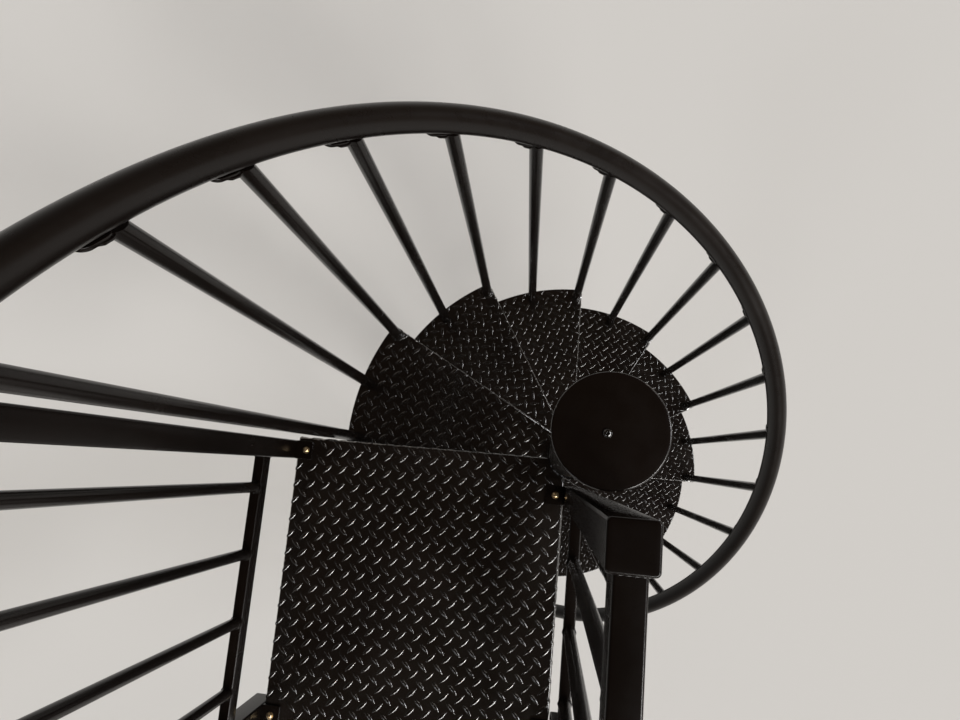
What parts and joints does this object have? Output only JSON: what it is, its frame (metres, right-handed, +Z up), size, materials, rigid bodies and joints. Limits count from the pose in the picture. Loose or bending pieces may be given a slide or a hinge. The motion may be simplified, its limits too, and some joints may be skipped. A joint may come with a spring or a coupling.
{
  "type": "spiral staircase",
  "caption": "Black steel spiral stair: raised-pattern pan treads on a centre pole, helical handrail on round balusters, square corner landing with guard rails.",
  "frame": {"origin": "on the centre pole's axis at the underside of the base plate, on the lower floor", "axes": "+Z up along the pole, -Y from the landing's front edge to the upper floor, -X from the pole to the landing's far side"},
  "size_m": [1.142, 1.108, 3.6386],
  "materials": {
    "tread_plate": "black satin powder coat on raised-pattern plate",
    "pole_coat": "black satin powder coat",
    "tube_coat": "black satin powder coat, smooth",
    "handrail_coat": "black semi-gloss, smoothed by hands",
    "collar_coat": "black gloss",
    "fastener": "yellow zinc plated"
  },
  "bodies": {
    "root": {"base_plate": "pole_coat", "centre_pole": "pole_coat", "pole_cap": "pole_coat", "top_sleeve": "pole_coat", "baluster_collars": "collar_coat", "starting_baluster": "tube_coat", "handrail": "handrail_coat", "handrail_ends": "handrail_coat", "landing": "tread_plate", "landing_stiffeners": "tube_coat", "left_front_post": "tube_coat", "left_back_post": "tube_coat", "right_front_post": "tube_coat", "right_back_post": "tube_coat", "post_caps": "tube_coat", "left_guard_panel": "tube_coat", "right_guard_panel": "tube_coat", "tread_01": "tread_plate", "balusters_01": "tube_coat", "tread_02": "tread_plate", "balusters_02": "tube_coat", "tread_03": "tread_plate", "balusters_03": "tube_coat", "tread_04": "tread_plate", "balusters_04": "tube_coat", "tread_05": "tread_plate", "balusters_05": "tube_coat", "tread_06": "tread_plate", "balusters_06": "tube_coat", "tread_07": "tread_plate", "balusters_07": "tube_coat", "tread_08": "tread_plate", "balusters_08": "tube_coat", "tread_09": "tread_plate", "balusters_09": "tube_coat", "tread_10": "tread_plate", "balusters_10": "tube_coat", "tread_11": "tread_plate", "balusters_11": "tube_coat"}
  },
  "joints": []
}
